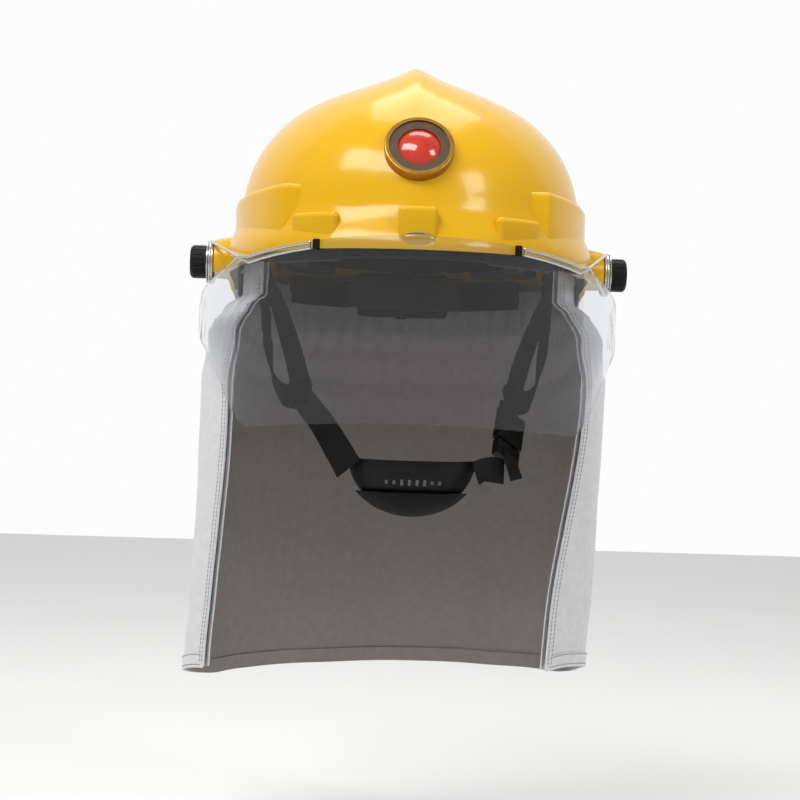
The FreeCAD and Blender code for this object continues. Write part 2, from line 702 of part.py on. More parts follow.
def buckle_plug():
    """Male half: a base with a strap bar and a middle guide; the prongs are apart."""
    base = box((-11.5, -3.2, -3.6), (11.5, 3.2, 6.4))
    base = base.makeFillet(1.2, [e for e in base.Edges if abs(e.Length - 10) < 0.1])
    base = base.cut(box((-9, -5, -1.4), (9, 5, 1.4)))
    guide = box((-2.0, -1.6, 6), (2.0, 1.6, 22))
    return in_buckle_place(base.fuse(guide))


def buckle_prong(sign):
    """Springy arm with a finger pad outside the mouth and a barb inside it."""
    points = [(9.4, 7.0), (11.9, 6.9), (12.2, 7.8), (10.2, 8.6), (10.0, 15.0), (10.5, 15.6),
              (10.4, 18.0), (8.2, 21.6), (7.4, 21.4), (7.6, 9.0), (7.2, 7.6)]
    corners = [Vector(sign * x, -1.7, z) for x, z in points]
    arm = Part.Face(Part.makePolygon(corners + corners[:1])).extrude(Vector(0, 3.4, 0))
    root = Part.makeCylinder(1.2, 3.4, Vector(sign * 8.4, -1.7, 7.7), Y_AXIS)
    return in_buckle_place(arm.fuse(root))


def upper_strap_left():
    """Short length from the divider down to the buckle socket's bar."""
    along, facing, across = buckle_directions()
    end = BUCKLE_LOW + along * 30.6 + facing * 0.2
    path = [(DIVIDER + Vector(-1, -4, -5), Vector(0.6, 0.78, 0)),
            (end + along * 4.5, across), (end, across)]
    return webbing(path, 16, 1.4)


def lower_strap_left():
    """From the cup up to the buckle plug's bar."""
    along, facing, across = buckle_directions()
    end = BUCKLE_LOW + facing * 0.2 - along * 12.5
    edge_on = (Vector(0.87, 0.5, -0.55), Vector(0.79, 0.62, -0.55))
    path = [(Vector(45.5, -87, -139), edge_on[0]), (Vector(53, -84.5, -136), edge_on[1]),
            (end, along * -0.87 - across * 0.49)]
    return webbing(path, 17, 1.4)


def strap_tail():
    """Free end of the webbing, hanging below the plug."""
    along, facing, across = buckle_directions()
    start = BUCKLE_LOW + facing * 4.4 - along
    path = [(start, across), (start - along * 6 + facing * 1.4, across),
            (start + Vector(4.1, -5.4, -15.8), across)]
    return webbing(path, 14, 1.4)


def cup_form(grow):
    centre = Vector(CHIN_X, CUP_FRONT + 44, CUP_TOP)
    return ellipsoid(CUP_HALF_WIDTH + grow, 44 + grow, CUP_TOP - CUP_BOTTOM + grow, centre)


def chin_cup():
    """Moulded bowl, open above and behind, with a rolled lip and a row of vents."""
    bowl = cup_form(0).cut(cup_form(-2.6))
    bowl = bowl.cut(box((-100, -200, CUP_TOP - 1), (100, 100, -60)))
    bowl = bowl.cut(box((-100, CUP_FRONT + 36, -300), (100, 100, 0)))
    for i in range(8):
        x = CHIN_X + (i - 3.5) * 5.0
        tall = 4.0 if 1 < i < 6 else 2.6
        bowl = bowl.cut(box((x - 1, -120, -146 - tall / 2), (x + 1, -80, -146 + tall / 2)))
    lip = cup_form(1.6).cut(cup_form(-2.6))
    lip = lip.common(box((-100, -200, CUP_TOP - 7), (100, CUP_FRONT + 36, CUP_TOP)))
    return bowl.fuse(lip)


def chin_pad():
    """Soft cover wrapped under the bowl."""
    cover = cup_form(3.6).cut(cup_form(0.3))
    cover = cover.cut(box((-100, -200, -152), (100, 100, 0)))
    return cover.cut(box((-100, CUP_FRONT + 36, -300), (100, 100, 0)))


# ---- neck shawl ---------------------------------------------------------------------------------------

def shawl_section(half_width, half_length, sheet, z, sway):
    wire = band_wire(half_width, half_length, sheet, SHAWL_CENTRE_Y, z,
                     90 - SHAWL_WRAP_LEFT, 90 + SHAWL_WRAP_RIGHT)
    wire.translate(Vector(sway, 0, 0))
    return wire


def shawl_layer(inset, sheet, bottom):
    """One layer of the shawl: snug inside the rim, flared below it, hanging to the hem."""
    levels = ((SHAWL_TOP, 117.5, 129.0, 0), (-40, 117.5, 129.0, 0), (-56, 127.0, 137.5, 0),
              (-78, 138.0, 147.0, 0), (-110, 142.0, 150.0, -0.5), (-200, 142.0, 150.0, -3.0),
              (bottom, 142.0, 150.0, SHAWL_SWAY))
    rings = [shawl_section(w - inset, l - inset, sheet, z, sway) for z, w, l, sway in levels]
    return Part.makeLoft(rings, True, True)


def shawl_header_band():
    return band(119.6, 131.2, 1.5, -28, -9, 90 - HEADER_WRAP, 90 + HEADER_WRAP, SHAWL_CENTRE_Y)


def shawl_snaps():
    """Press studs that hold the header band to the shell's wall."""
    studs = []
    for degrees in SNAP_ANGLES:
        angle = math.radians(degrees)
        x = 117.8 * math.sin(angle)
        y = SHAWL_CENTRE_Y + 129.4 * math.cos(angle)
        out = Vector(math.sin(angle) / 117.8, math.cos(angle) / 129.4, 0).normalize()
        z = -18.5
        spot = Vector(x, y, z)
        if abs(degrees) == 90:
            spot += Vector(0, 8, 0)
            studs.append(rod(spot - out * 1.6, spot + out * 4.5, 4.5))
        else:
            studs.append(rod(spot - out * 1.6, spot + out * 5.5, 5.5))
    return joined_loose(studs)


# ---- write every node ---------------------------------------------------------------

def write(name, shape):
    if not shape.isValid():
        print("not valid:", name)
    shape.exportStep("parts/" + name + ".step")


def main():
    os.makedirs("parts", exist_ok=True)
    write("outer_shell", outer_shell())
    rim, field, dome, pins = badge_parts(shell_form(0))
    write("badge_rim", rim)
    write("badge_field", field)
    write("badge_enamel", dome)
    write("badge_pins", pins)
    write("impact_liner", impact_liner())
    write("crown_strap_lengthwise", crown_strap(True, 1.0))
    write("crown_strap_crosswise", crown_strap(False, 3.4))
    write("crown_pad", crown_pad())
    write("suspension_clips", suspension_clips())
    write("headband", headband())
    write("sweatband", sweatband())
    write("nape_pad", nape_pad())
    write("ratchet_housing", ratchet_housing())
    write("size_dial", size_dial())
    write("dial_pinion", dial_pinion())
    write("visor", visor())
    write("visor_lift_tab", visor_lift_tab())
    write("strap_anchors", strap_anchors())
    for side, word in ((1, "left"), (-1, "right")):
        write("side_pad_" + word, side_pad(side))
        write("rear_pad_" + word, rear_pad(side))
        write("nape_arm_" + word, nape_arm(side))
        write("visor_wire_" + word, visor_wire(side))
        write("wire_clip_" + word, wire_clip(side))
        write("pivot_bolt_" + word, pivot_bolt(side))
        write("pivot_washer_" + word, pivot_washer(side))
        write("pivot_knob_" + word, pivot_knob(side))
        write("cheek_strap_front_" + word, cheek_strap_front(side))
        write("cheek_strap_rear_" + word, cheek_strap_rear(side))
        write("strap_divider_" + word, strap_divider(side))
        write("buckle_prong_" + word, buckle_prong(side))
    write("lower_strap_right", lower_strap_right())
    write("upper_strap_left", upper_strap_left())
    write("lower_strap_left", lower_strap_left())
    write("buckle_socket", buckle_socket())
    write("buckle_plug", buckle_plug())
    write("strap_tail", strap_tail())
    write("chin_cup", chin_cup())
    write("chin_pad", chin_pad())
    write("neck_shawl", shawl_layer(0.0, CLOTH, SHAWL_BOTTOM))
    write("shawl_lining", shawl_layer(CLOTH + 0.3, 1.2, SHAWL_BOTTOM + 3))
    write("shawl_header_band", shawl_header_band())
    write("shawl_snaps", shawl_snaps())


main()
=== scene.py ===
"""Firefighter helmet: yellow crested shell, clear visor, black harness and silver neck shawl.

Metres, +Z up.  The helmet faces -Y; left and right are the wearer's, so left is +X.
"""
import math
import bmesh
import bpy
from mathutils import Matrix, Vector, noise


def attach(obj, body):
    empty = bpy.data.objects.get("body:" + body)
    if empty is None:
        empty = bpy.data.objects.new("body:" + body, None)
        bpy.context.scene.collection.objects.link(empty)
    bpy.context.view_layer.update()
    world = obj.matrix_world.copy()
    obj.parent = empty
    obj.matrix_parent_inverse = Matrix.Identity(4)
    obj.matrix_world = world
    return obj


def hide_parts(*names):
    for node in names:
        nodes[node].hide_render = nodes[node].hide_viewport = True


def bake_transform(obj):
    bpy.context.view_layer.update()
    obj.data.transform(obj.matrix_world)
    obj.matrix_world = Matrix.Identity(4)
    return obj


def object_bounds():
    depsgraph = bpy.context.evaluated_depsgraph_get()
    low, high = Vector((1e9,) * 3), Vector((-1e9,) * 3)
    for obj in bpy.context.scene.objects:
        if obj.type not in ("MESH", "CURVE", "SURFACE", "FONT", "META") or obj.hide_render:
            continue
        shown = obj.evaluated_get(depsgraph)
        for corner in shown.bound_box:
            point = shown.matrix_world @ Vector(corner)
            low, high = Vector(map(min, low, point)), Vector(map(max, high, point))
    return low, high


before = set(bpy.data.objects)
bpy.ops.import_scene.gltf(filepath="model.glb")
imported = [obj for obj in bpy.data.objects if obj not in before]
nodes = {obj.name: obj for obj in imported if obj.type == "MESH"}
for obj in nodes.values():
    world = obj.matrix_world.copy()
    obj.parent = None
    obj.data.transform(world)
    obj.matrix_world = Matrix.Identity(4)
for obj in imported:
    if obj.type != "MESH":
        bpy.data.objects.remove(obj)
cad_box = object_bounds()
MM = 0.001

# ---- Camera --------------------------------------------------------------------------------------
# The helmet sits level with the lens, tipped a little to one side and turned a little
# past straight on, as it does on a head that isn't quite square to the camera.
VIEW_DISTANCE = 1.5
VIEW_WIDTH = 0.56
SENSOR = 36
ASIDE = 0.0061              # the lens stands this far to the left of the pivots, and this far below
BELOW = 0.0919
turned = math.radians(1.8)
tipped = math.radians(1.8)
ahead = Vector((math.sin(turned), math.cos(turned), 0))
level = Vector((math.cos(turned), -math.sin(turned), 0))
right = level * math.cos(tipped) + Vector((0, 0, math.sin(tipped)))
up = right.cross(ahead)
lens_spot = -ahead * VIEW_DISTANCE - right * ASIDE - up * BELOW
camera_data = bpy.data.cameras.new("camera")
camera_data.sensor_width = SENSOR
camera_data.lens = SENSOR * VIEW_DISTANCE / VIEW_WIDTH
camera = bpy.data.objects.new("camera", camera_data)
camera.matrix_world = Matrix((right, up, -ahead)).transposed().to_4x4()
camera.matrix_world.translation = lens_spot
bpy.context.collection.objects.link(camera)
bpy.context.scene.camera = camera

# ---- Studio light and floor ----------------------------------------------------------------------
# A white room: soft key high on the left, weaker fill on the right, a lamp overhead, an evenly
# lit wall behind, and a pale seamless floor under the hem.
FLOOR_DROP = 0.12
WALL_BACK = 3.2
world = bpy.data.worlds.new("studio")
bpy.context.scene.world = world
world.use_nodes = True
sky = world.node_tree.nodes["Background"]
sky.inputs["Color"].default_value = (1, 1, 1, 1)
sky.inputs["Strength"].default_value = 0.5
bpy.context.scene.view_settings.view_transform = "Standard"


def softbox(name, spot, aim, size, power):
    """A rectangular lamp at spot that faces aim."""
    data = bpy.data.lights.new(name, "AREA")
    data.shape = "RECTANGLE"
    data.size, data.size_y = size
    data.energy = power
    lamp = bpy.data.objects.new(name, data)
    lamp.location = spot
    lamp.rotation_euler = (Vector(aim) - Vector(spot)).to_track_quat("-Z", "Y").to_euler()
    bpy.context.collection.objects.link(lamp)


softbox("key", (-0.8, -1.0, 1.35), (0, 0, 0), (1.4, 0.6), 25)
softbox("fill", (1.3, -1.2, 1.0), (0, 0, -0.1), (0.5, 0.5), 8)
softbox("top", (0.1, 0.5, 1.6), (0, 0, 0), (1.1, 0.8), 10)

bpy.ops.object.select_all(action="DESELECT")
bpy.ops.mesh.primitive_plane_add(size=30, location=(0, 0, cad_box[0][2] - FLOOR_DROP))
floor = bpy.context.object
bpy.ops.object.transform_apply(location=True)
floor.name = "floor"
bpy.ops.object.select_all(action="DESELECT")
bpy.ops.mesh.primitive_plane_add(size=14, location=(0, WALL_BACK, 0),
                                 rotation=(math.pi / 2, 0, 0))
backdrop = bpy.context.object
bpy.ops.object.transform_apply(location=True, rotation=True)
backdrop.name = "backdrop"


def linear(code):
    """sRGB hex colour, such as F0B400, as linear red, green and blue, with an alpha of 1."""
    parts = [int(code[i:i + 2], 16) / 255 for i in (0, 2, 4)]
    return tuple(c / 12.92 if c <= 0.04045 else ((c + 0.055) / 1.055) ** 2.4 for c in parts) + (1.0,)


def add(material, kind, inputs=None, **settings):
    """One shader node with its settings, and its inputs as values or as links."""
    made = material.node_tree.nodes.new(kind)
    for name, value in settings.items():
        setattr(made, name, value)
    for name, value in (inputs or {}).items():
        if isinstance(value, bpy.types.NodeSocket):
            material.node_tree.links.new(value, made.inputs[name])
        else:
            made.inputs[name].default_value = value
    return made


def new_material(name):
    """Empty material and its main shader."""
    material = bpy.data.materials.new(name)
    material.use_nodes = True
    return material, material.node_tree.nodes["Principled BSDF"]


def link(material, output, shader, name):
    material.node_tree.links.new(output, shader.inputs[name])


def dress(names, material):
    """Give CAD pieces their material."""
    for name in names:
        for slot in nodes[name].material_slots:
            slot.material = material


def both(*stems):
    return [stem + "_" + side for stem in stems for side in ("left", "right")]


floor_paper, shader = new_material("seamless_paper")
coords = add(floor_paper, "ShaderNodeTexCoord")
mottle = add(floor_paper, "ShaderNodeTexNoise", {"Vector": coords.outputs["Object"], "Scale": 3.0})
tone = add(floor_paper, "ShaderNodeMix", {"Factor": mottle.outputs["Fac"], 6: linear("E3E3E2"),
                                          7: linear("E7E7E6")}, data_type="RGBA")
link(floor_paper, tone.outputs[2], shader, "Base Color")
shader.inputs["Roughness"].default_value = 0.9
floor.data.materials.append(floor_paper)

# The wall glows by itself, as one lit evenly by lamps of its own.
lit_paper, shader = new_material("lit_paper")
shader.inputs["Base Color"].default_value = linear("202020")
shader.inputs["Specular IOR Level"].default_value = 0.0
shader.inputs["Emission Color"].default_value = linear("FFFFFF")
shader.inputs["Emission Strength"].default_value = 0.97
backdrop.data.materials.append(lit_paper)

# ---- Shell ---------------------------------------------------------------------------------------
# One moulding of yellow ABS with a hard gloss lacquer.  Lacquer over a moulded skin leaves a very
# slight orange peel about 3 mm across, and handling leaves faint dull patches.
lacquer, shader = new_material("lacquered_abs")
coords = add(lacquer, "ShaderNodeTexCoord")
smears = add(lacquer, "ShaderNodeTexNoise", {"Vector": coords.outputs["Object"], "Scale": 14.0, "Detail": 3.0})
tone = add(lacquer, "ShaderNodeMix", {"Factor": smears.outputs["Fac"], 6: linear("D8A402"),
                                      7: linear("DFAC06")}, data_type="RGBA")
dull = add(lacquer, "ShaderNodeMapRange", {"Value": smears.outputs["Fac"], "From Min": 0.3, "From Max": 0.75,
                                           "To Min": 0.17, "To Max": 0.27})
peel = add(lacquer, "ShaderNodeTexNoise", {"Vector": coords.outputs["Object"], "Scale": 330.0, "Detail": 1.0})
skin = add(lacquer, "ShaderNodeBump", {"Height": peel.outputs["Fac"], "Strength": 0.035, "Distance": 0.001})
link(lacquer, tone.outputs[2], shader, "Base Color")
link(lacquer, dull.outputs[0], shader, "Roughness")
link(lacquer, skin.outputs["Normal"], shader, "Normal")
shader.inputs["Specular IOR Level"].default_value = 0.3
shader.inputs["Coat Weight"].default_value = 0.15
shader.inputs["Coat Roughness"].default_value = 0.05
dress(["outer_shell"], lacquer)

# ---- Badge ---------------------------------------------------------------------------------------
# A plain round pressed-brass badge with a dark fired ground and a red enamel dome.  The brass is
# polished on its rim and toned brown in its low places.
brass, shader = new_material("pressed_brass")
coords = add(brass, "ShaderNodeTexCoord")
toning = add(brass, "ShaderNodeTexNoise", {"Vector": coords.outputs["Object"], "Scale": 260.0, "Detail": 4.0})
tone = add(brass, "ShaderNodeMix", {"Factor": toning.outputs["Fac"], 6: linear("8A6A2C"),
                                    7: linear("C79A48")}, data_type="RGBA")
grain = add(brass, "ShaderNodeBump", {"Height": toning.outputs["Fac"], "Strength": 0.15, "Distance": 0.0003})
link(brass, tone.outputs[2], shader, "Base Color")
link(brass, grain.outputs["Normal"], shader, "Normal")
shader.inputs["Metallic"].default_value = 1.0
shader.inputs["Roughness"].default_value = 0.3
dress(["badge_rim", "badge_pins"], brass)


def enamel(name, dark, light, rough):
    """Fired glass enamel: glossy, with a slight cloudiness."""
    material, shader = new_material(name)
    coords = add(material, "ShaderNodeTexCoord")
    cloud = add(material, "ShaderNodeTexNoise",
                {"Vector": coords.outputs["Object"], "Scale": 120.0, "Detail": 3.0})
    tone = add(material, "ShaderNodeMix", {"Factor": cloud.outputs["Fac"], 6: linear(dark),
                                           7: linear(light)}, data_type="RGBA")
    link(material, tone.outputs[2], shader, "Base Color")
    shader.inputs["Roughness"].default_value = rough
    shader.inputs["Coat Weight"].default_value = 0.6
    return material


dress(["badge_field"], enamel("ground_enamel", "3A2410", "5A3A18", 0.4))
dress(["badge_enamel"], enamel("red_enamel", "A81E08", "D23414", 0.16))

# ---- Moulded black plastic -----------------------------------------------------------------------
# Nylon and acetal mouldings: knobs, buckle, cup, band and hangers, with the fine sparked skin
# of the tool and corners rubbed a shade lighter.
moulded, shader = new_material("sparked_nylon")
coords = add(moulded, "ShaderNodeTexCoord")
spark = add(moulded, "ShaderNodeTexNoise",
            {"Vector": coords.outputs["Object"], "Scale": 1400.0, "Detail": 2.0})
rub = add(moulded, "ShaderNodeTexNoise", {"Vector": coords.outputs["Object"], "Scale": 60.0, "Detail": 4.0})
tone = add(moulded, "ShaderNodeMix", {"Factor": rub.outputs["Fac"], 6: linear("060607"),
                                      7: linear("0D0D0E")}, data_type="RGBA")
worn = add(moulded, "ShaderNodeMapRange", {"Value": rub.outputs["Fac"], "To Min": 0.38, "To Max": 0.55})
skin = add(moulded, "ShaderNodeBump", {"Height": spark.outputs["Fac"], "Strength": 0.25, "Distance": 0.0002})
link(moulded, tone.outputs[2], shader, "Base Color")
link(moulded, worn.outputs[0], shader, "Roughness")
shader.inputs["Specular IOR Level"].default_value = 0.2
link(moulded, skin.outputs["Normal"], shader, "Normal")
dress(both("pivot_knob", "wire_clip", "nape_arm", "strap_divider", "buckle_prong")
      + ["suspension_clips", "headband", "ratchet_housing", "size_dial", "dial_pinion", "strap_anchors",
         "buckle_socket", "buckle_plug", "chin_cup"], moulded)

# ---- Stainless wire, bolts and washers -----------------------------------------------------------
# Drawn stainless spring wire: bright, with faint draw lines, so it glints along its length.
stainless, shader = new_material("drawn_stainless")
coords = add(stainless, "ShaderNodeTexCoord")
lines = add(stainless, "ShaderNodeTexNoise",
            {"Vector": coords.outputs["Object"], "Scale": 900.0, "Detail": 2.0})
streak = add(stainless, "ShaderNodeMapRange", {"Value": lines.outputs["Fac"], "To Min": 0.14, "To Max": 0.34})
link(stainless, streak.outputs[0], shader, "Roughness")
shader.inputs["Base Color"].default_value = linear("C9C8C4")
shader.inputs["Metallic"].default_value = 1.0
dress(both("visor_wire", "pivot_bolt", "pivot_washer") + ["shawl_snaps"], stainless)

# ---- Visor ---------------------------------------------------------------------------------------
# Two millimetre clear polycarbonate, bent from sheet and polished on its edges.
clear, shader = new_material("clear_polycarbonate")
coords = add(clear, "ShaderNodeTexCoord")
ripple = add(clear, "ShaderNodeTexNoise", {"Vector": coords.outputs["Object"], "Scale": 22.0, "Detail": 1.0})
skin = add(clear, "ShaderNodeBump", {"Height": ripple.outputs["Fac"], "Strength": 0.02, "Distance": 0.002})
link(clear, skin.outputs["Normal"], shader, "Normal")
shader.inputs["Base Color"].default_value = linear("E6E8EC")
shader.inputs["Transmission Weight"].default_value = 1.0
shader.inputs["Roughness"].default_value = 0.015
shader.inputs["IOR"].default_value = 1.5
shader.inputs["Specular IOR Level"].default_value = 0.3
dress(["visor", "visor_lift_tab"], clear)

# ---- Liner ---------------------------------------------------------------------------------------
# Moulded closed-cell foam under the crown; its cells show as a fine pebble.
foam, shader = new_material("closed_cell_foam")
coords = add(foam, "ShaderNodeTexCoord")
cells = add(foam, "ShaderNodeTexVoronoi", {"Vector": coords.outputs["Object"], "Scale": 400.0})
tone = add(foam, "ShaderNodeMix", {"Factor": cells.outputs["Distance"], 6: linear("1B1B1D"),
                                   7: linear("29292B")}, data_type="RGBA")
skin = add(foam, "ShaderNodeBump", {"Height": cells.outputs["Distance"], "Strength": 0.4, "Distance": 0.0008})
link(foam, tone.outputs[2], shader, "Base Color")
link(foam, skin.outputs["Normal"], shader, "Normal")
shader.inputs["Roughness"].default_value = 0.85
dress(["impact_liner"], foam)

# ---- Padded pieces -------------------------------------------------------------------------------
# Brushed charcoal cloth over soft foam: sweatband, nape and side pads, crown pad and chin pad.
# Each starts from its plain solid, is drawn in, and is blown up as cloth round its filling.
PAD_SWELL = 0.0016
PAD_PRESSURE = 4.0
PAD_FRAMES = 12


def napped(name, dark, light, sheen):
    """Short-napped cloth with a fine weft and slow patches where the nap lies another way."""
    material, shader = new_material(name)
    coords = add(material, "ShaderNodeTexCoord")
    weft = add(material, "ShaderNodeTexNoise",
               {"Vector": coords.outputs["Object"], "Scale": 520.0, "Detail": 3.0})
    nap = add(material, "ShaderNodeTexNoise",
              {"Vector": coords.outputs["Object"], "Scale": 45.0, "Detail": 3.0})
    tuft = add(material, "ShaderNodeMath", {0: weft.outputs["Fac"], 1: nap.outputs["Fac"]}, operation="ADD")
    half = add(material, "ShaderNodeMath", {0: tuft.outputs[0], 1: 0.5}, operation="MULTIPLY")
    tone = add(material, "ShaderNodeMix", {"Factor": half.outputs[0], 6: linear(dark), 7: linear(light)},
               data_type="RGBA")
    skin = add(material, "ShaderNodeBump", {"Height": tuft.outputs[0], "Strength": 0.6, "Distance": 0.0009})
    link(material, tone.outputs[2], shader, "Base Color")
    link(material, skin.outputs["Normal"], shader, "Normal")
    shader.inputs["Roughness"].default_value = 0.9
    shader.inputs["Specular IOR Level"].default_value = 0.15
    shader.inputs["Sheen Weight"].default_value = sheen
    return material


brushed = napped("brushed_cloth", "17181B", "33343A", 0.12)
black_knit = napped("black_knit", "08080A", "17171A", 0.03)


def activate(piece):
    bpy.ops.object.select_all(action="DESELECT")
    piece.select_set(True)
    bpy.context.view_layer.objects.active = piece


def apply_modifier(piece, kind, **settings):
    activate(piece)
    modifier = piece.modifiers.new(kind.lower(), kind)
    for name, value in settings.items():
        setattr(modifier, name, value)
    bpy.ops.object.modifier_apply(modifier=modifier.name)


def copied(name, new_name):
    """A merged copy of a CAD piece, in place, as an object of its own."""
    mesh = nodes[name].data.copy()
    mesh.materials.clear()
    piece = bpy.data.objects.new(new_name, mesh)
    bpy.context.collection.objects.link(piece)
    activate(piece)
    bpy.ops.object.mode_set(mode="EDIT")
    bpy.ops.mesh.select_all(action="SELECT")
    bpy.ops.mesh.remove_doubles(threshold=1e-5)
    bpy.ops.object.mode_set(mode="OBJECT")
    return piece


def swell(piece):
    """Blow a remeshed pad up as cloth, and cap how far each point may go."""
    start = [v.co.copy() for v in piece.data.vertices]
    activate(piece)
    modifier = piece.modifiers.new("cloth", "CLOTH")
    modifier.settings.quality = 5
    modifier.settings.mass = 0.2
    modifier.settings.use_pressure = True
    modifier.settings.uniform_pressure_force = PAD_PRESSURE
    modifier.settings.effector_weights.gravity = 0
    for number in range(1, PAD_FRAMES + 1):
        bpy.context.scene.frame_set(number)
    bpy.ops.object.modifier_apply(modifier=modifier.name)
    bpy.context.scene.frame_set(1)
    for vertex, rest in zip(piece.data.vertices, start):
        move = vertex.co - rest
        if move.length > PAD_SWELL:
            vertex.co = rest + move.normalized() * PAD_SWELL


def pad(name, voxel, cover):
    """Padded piece in place of the CAD solid of the same name."""
    piece = copied(name, name + "_cushion")
    apply_modifier(piece, "REMESH", mode="VOXEL", voxel_size=voxel, use_smooth_shade=True)
    apply_modifier(piece, "DISPLACE", strength=-PAD_SWELL / 2, mid_level=0.0)
    apply_modifier(piece, "SMOOTH", factor=0.5, iterations=6)
    swell(piece)
    apply_modifier(piece, "SUBSURF", levels=1, render_levels=1)
    piece.data.materials.append(cover)
    bpy.ops.object.shade_smooth()
    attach(piece, "helmet")
    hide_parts(name)


for name in both("side_pad", "rear_pad") + ["nape_pad", "crown_pad"]:
    pad(name, 0.0028, brushed)
pad("sweatband", 0.0024, brushed)
pad("chin_pad", 0.0014, black_knit)

# ---- Webbing -------------------------------------------------------------------------------------
# Black polyester webbing, ribbed across every 1.2 mm, with a rolled selvedge on each edge.
# U runs across the strap and V along it, both in metres.
RIB = 0.0012
CHEEK_WIDTH = 0.020
NARROW_WIDTH = 0.016
THIN = 0.0013               # the short lengths at the buckle are woven thinner
ROUTE_STEPS = 9
webbing, shader = new_material("polyester_webbing")
lay = add(webbing, "ShaderNodeUVMap", uv_map="strap")
split = add(webbing, "ShaderNodeSeparateXYZ", {0: lay.outputs[0]})
along = add(webbing, "ShaderNodeMath", {0: split.outputs["Y"], 1: 2 * math.pi / RIB}, operation="MULTIPLY")
across = add(webbing, "ShaderNodeMath", {0: split.outputs["X"], 1: 2 * math.pi / (1.5 * RIB)},
             operation="MULTIPLY")
ribs = add(webbing, "ShaderNodeMath", {0: along.outputs[0]}, operation="SINE")
cords = add(webbing, "ShaderNodeMath", {0: across.outputs[0]}, operation="SINE")
weave = add(webbing, "ShaderNodeMath", {0: ribs.outputs[0], 1: cords.outputs[0]}, operation="MULTIPLY")
relief = add(webbing, "ShaderNodeMath", {0: weave.outputs[0], 1: 0.5, 2: 0.5}, operation="MULTIPLY_ADD")
tone = add(webbing, "ShaderNodeMix", {"Factor": relief.outputs[0], 6: linear("070708"),
                                      7: linear("1B1B1E")}, data_type="RGBA")
skin = add(webbing, "ShaderNodeBump", {"Height": relief.outputs[0], "Strength": 0.7, "Distance": 0.0004})
link(webbing, tone.outputs[2], shader, "Base Color")
link(webbing, skin.outputs["Normal"], shader, "Normal")
shader.inputs["Roughness"].default_value = 0.75
shader.inputs["Specular IOR Level"].default_value = 0.25


def smooth_route(stations):
    """Points and width directions on one smooth curve through the stations."""
    spots = [Vector(s[0]) * MM for s in stations]
    widths = [Vector(s[1]).normalized() for s in stations]
    route = []
    for i in range(len(spots) - 1):
        for k in range(ROUTE_STEPS):
            t = k / ROUTE_STEPS
            quad = [max(0, i - 1), i, i + 1, min(len(spots) - 1, i + 2)]
            p = [spots[q] for q in quad]
            spot = 0.5 * (2 * p[1] + (p[2] - p[0]) * t + (2 * p[0] - 5 * p[1] + 4 * p[2] - p[3]) * t * t
                          + (3 * p[1] - p[0] - 3 * p[2] + p[3]) * t ** 3)
            route.append((spot, widths[i].lerp(widths[i + 1], t)))
    route.append((spots[-1], widths[-1]))
    return route


def strap(name, replaces, stations, width, thick=0.0015):
    """Woven strap with rounded selvedges along a smooth route."""
    route = smooth_route(stations)
    rim = [(-0.5, -0.25), (-0.47, -0.5), (-0.25, -0.5), (0, -0.5), (0.25, -0.5), (0.47, -0.5),
           (0.5, -0.25), (0.5, 0.25), (0.47, 0.5), (0.25, 0.5), (0, 0.5), (-0.25, 0.5), (-0.47, 0.5),
           (-0.5, 0.25)]
    verts = []
    uvs = []
    travelled = 0.0
    for i, (spot, across) in enumerate(route):
        before = route[max(i - 1, 0)][0]
        after = route[min(i + 1, len(route) - 1)][0]
        forward = (after - before).normalized()
        side = (across - forward * across.dot(forward)).normalized()
        out = forward.cross(side)
        if i:
            travelled += (spot - route[i - 1][0]).length
        for a, b in rim:
            verts.append(spot + side * (width * a) + out * (thick * b))
            uvs.append((width * a, travelled))
    count = len(rim)
    faces = [(i * count + k, i * count + (k + 1) % count,
              (i + 1) * count + (k + 1) % count, (i + 1) * count + k)
             for i in range(len(route) - 1) for k in range(count)]
    faces += [tuple(reversed(range(count))), tuple(range(len(verts) - count, len(verts)))]
    mesh = bpy.data.meshes.new(name)
    mesh.from_pydata(verts, [], faces)
    layer = mesh.uv_layers.new(name="strap")
    for loop in mesh.loops:
        layer.data[loop.index].uv = uvs[loop.vertex_index]
    piece = bpy.data.objects.new(name, mesh)
    bpy.context.collection.objects.link(piece)
    activate(piece)
    bpy.ops.object.mode_set(mode="EDIT")
    bpy.ops.mesh.select_all(action="SELECT")
    bpy.ops.mesh.normals_make_consistent(inside=False)
    bpy.ops.object.mode_set(mode="OBJECT")
    bpy.ops.object.shade_smooth_by_angle(angle=math.radians(50))
    mesh.materials.append(webbing)
    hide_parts(replaces)
    return piece


def plan(degrees):
    """Level direction, turned from straight back towards the wearer's left."""
    angle = math.radians(degrees)
    return (math.sin(angle), math.cos(angle), 0)


def flipped(stations):
    """The same strap on the other side of the head."""
    return [((-x, y, z), (-a, b, c)) for (x, y, z), (a, b, c) in stations]


front_cheek = [((102, -40, 10), plan(5)), ((97, -43, -12), plan(18)), ((87, -46, -36), plan(34)),
               ((77.5, -47, -64), plan(40)), ((72.5, -45, -83), plan(42))]
rear_cheek = [((102.4, 38, 2), plan(-20)), ((101, 34, -24), plan(-20)), ((98.5, 25, -54), plan(-16)),
              ((94, 13, -77), (-0.1, 0.7, -0.62)), ((86, -9, -89.5), (-0.25, -0.3, -0.9)),
              ((77.5, -28, -92.5), (-0.25, -0.3, -0.9))]
for side, turn in (("left", list), ("right", flipped)):
    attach(strap("front_cheek_webbing_" + side, "cheek_strap_front_" + side, turn(front_cheek),
                  CHEEK_WIDTH), "helmet")
    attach(strap("rear_cheek_webbing_" + side, "cheek_strap_rear_" + side, turn(rear_cheek),
                  NARROW_WIDTH), "helmet")

